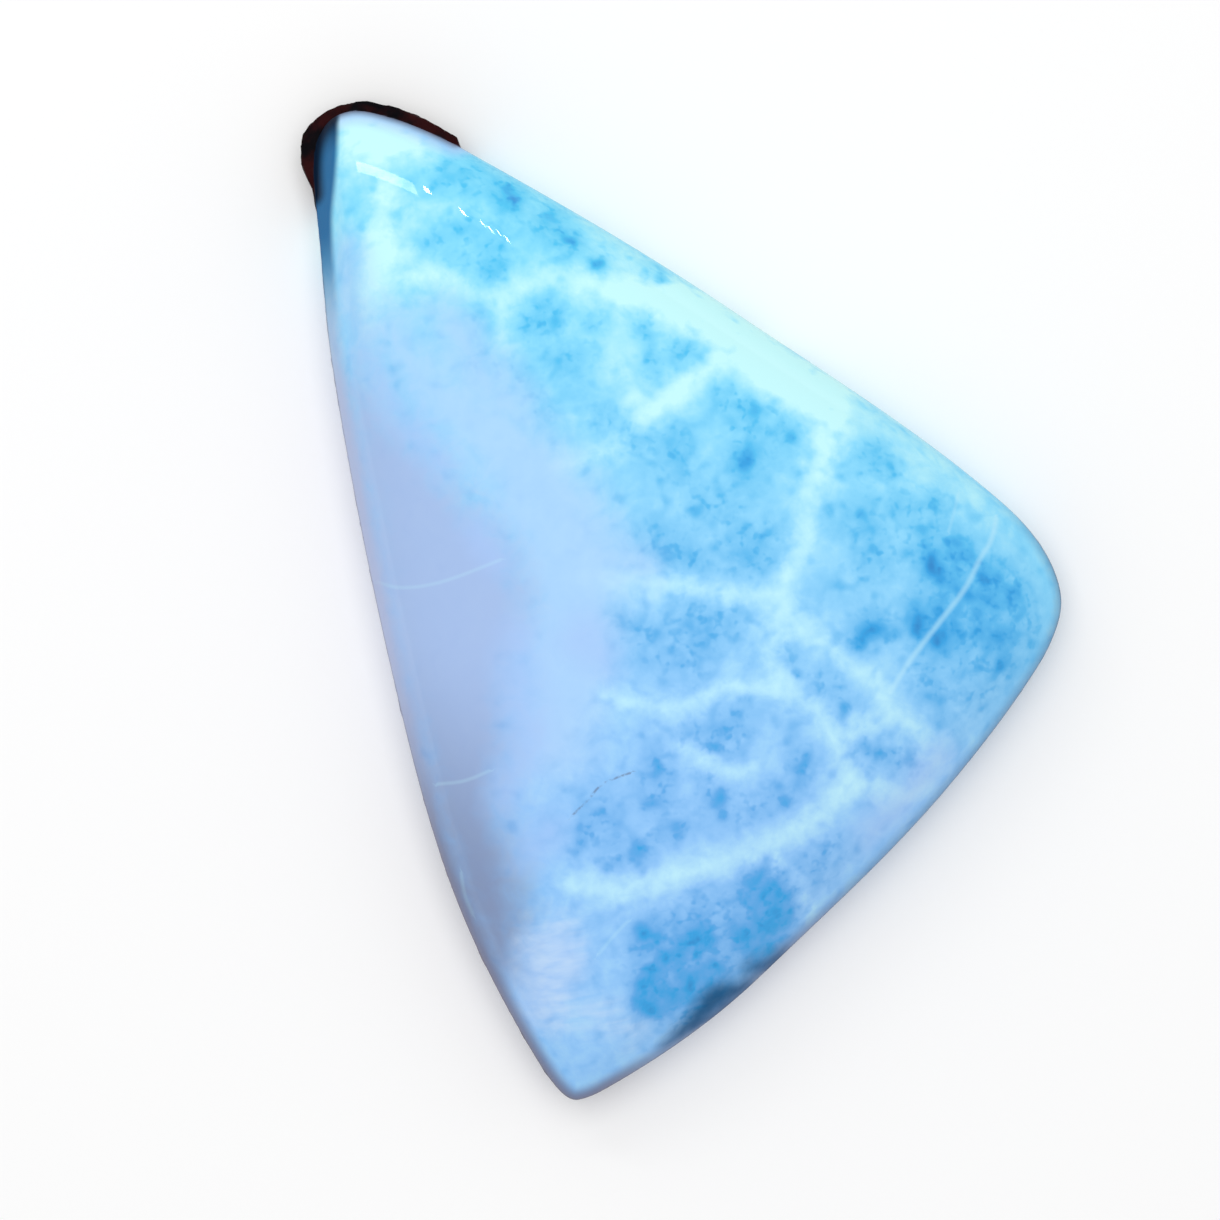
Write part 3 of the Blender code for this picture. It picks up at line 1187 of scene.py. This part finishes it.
def larimar_colour(tree, colours):
    """The larimar's colour, with each kind of marking laid over the last."""

    def hue(name):
        return (*getattr(colours, name), 1)

    mottle = grain(tree, 1.2, 3.0, 0.4)
    fine = grain(tree, 0.45, 2.0)
    colour = body_colour(tree, hue, blue_depth(tree, mottle, fine))
    colour = zone_colour(tree, colour, hue, mottle)
    colour = crack_colour(tree, colour, hue)
    colour = edge_colour(tree, colour, hue, mottle, fine)
    return facet_colour(tree, colour, hue)


def dull_shadow_rind(tree, colours):
    """The dark rind, a painted shadow built as matter: dull and near black, with reddish patches."""
    patches = between(tree, grain(tree, 1.4, 4.0), 0.4, 0.62)
    pits = add_node(
        tree,
        "ShaderNodeBump",
        {"Height": grain(tree, 0.25, 4.0), "Strength": 0.6, "Distance": 0.1 * MM},
    ).outputs["Normal"]
    return add_node(
        tree,
        "ShaderNodeBsdfPrincipled",
        {
            "Base Color": lay(tree, (*colours.shadow_rind, 1), (*colours.shadow_rind_red, 1), patches),
            "Roughness": 0.7,
            "Specular IOR Level": 0.1,
            "Normal": pits,
        },
    ).outputs["BSDF"]


def polished_larimar(colours):
    """Larimar, which is blue pectolite, cut and polished, with the dark rind at its tip.

    The polish gives a wet, even gloss over a milky body; the rind is painted shadow
    built as broken matter that the polish barely touches, so it looks dull and almost black.
    """
    material, tree = new_material("polished_larimar")
    colour = larimar_colour(tree, colours)
    polished = add_node(
        tree,
        "ShaderNodeBsdfPrincipled",
        {"Base Color": colour, "Roughness": 0.03, "IOR": 1.6},
    ).outputs["BSDF"]
    lapped = add_node(
        tree,
        "ShaderNodeBsdfPrincipled",
        {"Base Color": colour, "Roughness": 0.5, "IOR": 1.6, "Specular IOR Level": 0.03},
    ).outputs["BSDF"]
    dull = greatest(
        tree,
        between(tree, along(tree, (0, 0, 1)), 2.4, 2.3),
        product(tree, coverage(tree, "rim", 0.7, 1.5), 0.8),
        coverage(tree, "rind_gap", 0.3, 0.9),
        coverage(tree, "steel_shade", -0.15, 0.2),
        coverage(tree, "teal_shade", -0.2, 0.6),
    )
    stone = add_node(tree, "ShaderNodeMixShader", {0: dull, 1: polished, 2: lapped})
    # Outside the blue stone's edge the dark rind takes over: painted shadow built as matter
    outside = inverse(tree, coverage(tree, "rind", -0.12, 0.04, 0.08, grain(tree, 0.5)))
    shadow_rind = product(tree, outside, coverage(tree, "rind_gap", 0.9, 1.0))
    whole = add_node(
        tree,
        "ShaderNodeMixShader",
        {0: shadow_rind, 1: stone.outputs["Shader"], 2: dull_shadow_rind(tree, colours)},
    ).outputs["Shader"]
    add_node(tree, "ShaderNodeOutputMaterial", {"Surface": whole})
    return material


class LARIMAR_OT_stone(bpy.types.Operator):
    """Build the polished stone with the dark rind at its tip, a painted shadow built as matter"""

    bl_idname = "larimar.stone"
    bl_label = "Polished stone"

    def execute(self, context):
        scene = context.scene
        mesh = stone_mesh(scene.larimar_shape)
        stone = bpy.data.objects.new("polished_stone", mesh)
        scene.collection.objects.link(stone)
        mesh.materials.append(polished_larimar(scene.larimar_colours))
        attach(stone, "root")
        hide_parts(CAD_NODE)
        return {"FINISHED"}


def photo_point(pixel, height):
    """The place in metres of a point of the photograph, at the given height."""
    right = (pixel[0] - STONE_PIXEL[0]) * MM_PER_PIXEL
    up = (STONE_PIXEL[1] - pixel[1]) * MM_PER_PIXEL
    cosine, sine = math.cos(CAMERA_ROLL), math.sin(CAMERA_ROLL)
    return Vector((right * cosine + up * sine, up * cosine - right * sine, height)) * MM


def make_floor(stage):
    """A wide pale floor just under the stone."""
    mesh_data = bmesh.new()
    bmesh.ops.create_grid(mesh_data, x_segments=1, y_segments=1, size=2)
    bmesh.ops.translate(mesh_data, verts=mesh_data.verts, vec=(0, 0, -0.01 * MM))
    mesh = bpy.data.meshes.new("floor")
    mesh_data.to_mesh(mesh)
    mesh_data.free()
    floor = bpy.data.objects.new("floor", mesh)
    material, tree = new_material("matt_paper")
    shader = add_node(
        tree,
        "ShaderNodeBsdfPrincipled",
        {"Base Color": (*stage.floor, 1), "Roughness": 0.9},
    )
    add_node(tree, "ShaderNodeOutputMaterial", {"Surface": shader.outputs["BSDF"]})
    mesh.materials.append(material)
    bpy.context.scene.collection.objects.link(floor)


def add_light(name, place, target, sideways, size, power, glossy):
    """A flat light aimed at a target, with its width along the sideways vector.

    It may show as a reflection or not.
    """
    data = bpy.data.lights.new(name, "AREA")
    data.shape = "RECTANGLE"
    data.size, data.size_y = size
    data.energy = power
    light = bpy.data.objects.new(name, data)
    back = (place - target).normalized()
    upward = back.cross(sideways).normalized()
    axes = Matrix((upward.cross(back), upward, back)).transposed()
    light.matrix_world = Matrix.Translation(place) @ axes.to_4x4()
    light.visible_glossy = glossy
    bpy.context.scene.collection.objects.link(light)


def mirrored(pixel):
    """The place on the stone that shows at a pixel, and the one it mirrors there."""
    eye = photo_point((PHOTO_SIDE / 2, PHOTO_SIDE / 2), WAIST_HEIGHT + CAMERA_DISTANCE)
    view = (photo_point(pixel, WAIST_HEIGHT) - eye).normalized()
    hit, place, normal, _ = bpy.data.objects["polished_stone"].ray_cast(eye, view)
    if not hit:
        raise RuntimeError(f"The stone doesn't show at pixel {pixel}")
    return place, place + view.reflect(normal) * LAMP_DISTANCE * MM


def add_lamps(lamp_power):
    """The strip and the row of small lamps that the polish mirrors near the tip."""
    (first, start), (last, end) = (mirrored(pixel) for pixel in STRIP_ENDS)
    row = end - start
    size = (row.length, STRIP_WIDTH * MM)
    power = lamp_power * STRIP_SHARE * size[0] * size[1]
    add_light("strip", (start + end) / 2, (first + last) / 2, row, size, power, glossy=True)
    for index, (x, y, width) in enumerate(GLINTS):
        target, place = mirrored((x, y))
        size = (width * MM, GLINT_HEIGHT * MM)
        power = lamp_power * GLINT_SHARE * size[0] * size[1]
        add_light(f"lamp_{index}", place, target, row, size, power, glossy=True)


def make_camera():
    """The camera, straight above the photograph's middle and rolled as it was."""
    data = bpy.data.cameras.new("camera")
    data.lens = CAMERA_LENS
    data.sensor_width = SENSOR_WIDTH
    data.clip_start = 5 * MM
    camera = bpy.data.objects.new("camera", data)
    height = WAIST_HEIGHT + CAMERA_DISTANCE
    middle = (PHOTO_SIDE / 2, PHOTO_SIDE / 2)
    camera.location = photo_point(middle, height)
    camera.rotation_euler = (0, 0, -CAMERA_ROLL)
    bpy.context.scene.collection.objects.link(camera)
    bpy.context.scene.camera = camera


class LARIMAR_OT_stage(bpy.types.Operator):
    """Build the floor, the lights and the camera"""

    bl_idname = "larimar.stage"
    bl_label = "Stage"

    def execute(self, context):
        scene = context.scene
        stage = scene.larimar_stage
        make_floor(stage)
        key_place = photo_point((430, -250), 300)
        across = Vector((1, 0, 0))
        origin = Vector((0, 0, 0))
        add_light("key", key_place, origin, across, (0.24, 0.24), stage.key_power, glossy=False)
        add_lamps(stage.lamp_power)
        world = bpy.data.worlds.new("soft_studio")
        world.use_nodes = True
        background = world.node_tree.nodes["Background"]
        background.inputs["Color"].default_value = (*stage.sky, 1)
        background.inputs["Strength"].default_value = stage.sky_strength
        scene.world = world
        scene.view_settings.view_transform = "Standard"
        make_camera()
        return {"FINISHED"}


class LARIMAR_PT_panel(bpy.types.Panel):
    """Sizes and colours, and a button for each thing that is built"""

    bl_label = "Larimar cabochon"
    bl_idname = "LARIMAR_PT_panel"
    bl_space_type = "VIEW_3D"
    bl_region_type = "UI"
    bl_category = "Larimar"

    def draw(self, context):
        for group_name in PROPERTY_GROUPS:
            group = getattr(context.scene, group_name)
            box = self.layout.box()
            for name in group.__annotations__:
                box.prop(group, name)
        for operator in OPERATORS:
            self.layout.operator(operator.bl_idname)


PROPERTY_GROUPS = {
    "larimar_shape": LarimarShape,
    "larimar_colours": LarimarColours,
    "larimar_stage": LarimarStage,
}
OPERATORS = (LARIMAR_OT_stone, LARIMAR_OT_stage)


def register():
    """Make the properties, the operators and the panel known to Blender."""
    for name, group in PROPERTY_GROUPS.items():
        bpy.utils.register_class(group)
        setattr(bpy.types.Scene, name, PointerProperty(type=group))
    for operator in OPERATORS:
        bpy.utils.register_class(operator)
    bpy.utils.register_class(LARIMAR_PT_panel)


def unregister():
    """Take everything away again, in the opposite order."""
    bpy.utils.unregister_class(LARIMAR_PT_panel)
    for operator in reversed(OPERATORS):
        bpy.utils.unregister_class(operator)
    for name, group in reversed(PROPERTY_GROUPS.items()):
        delattr(bpy.types.Scene, name)
        bpy.utils.unregister_class(group)


def main():
    """Build everything."""
    register()
    bpy.ops.larimar.stone()
    bpy.ops.larimar.stage()


if __name__ == "__main__":
    main()
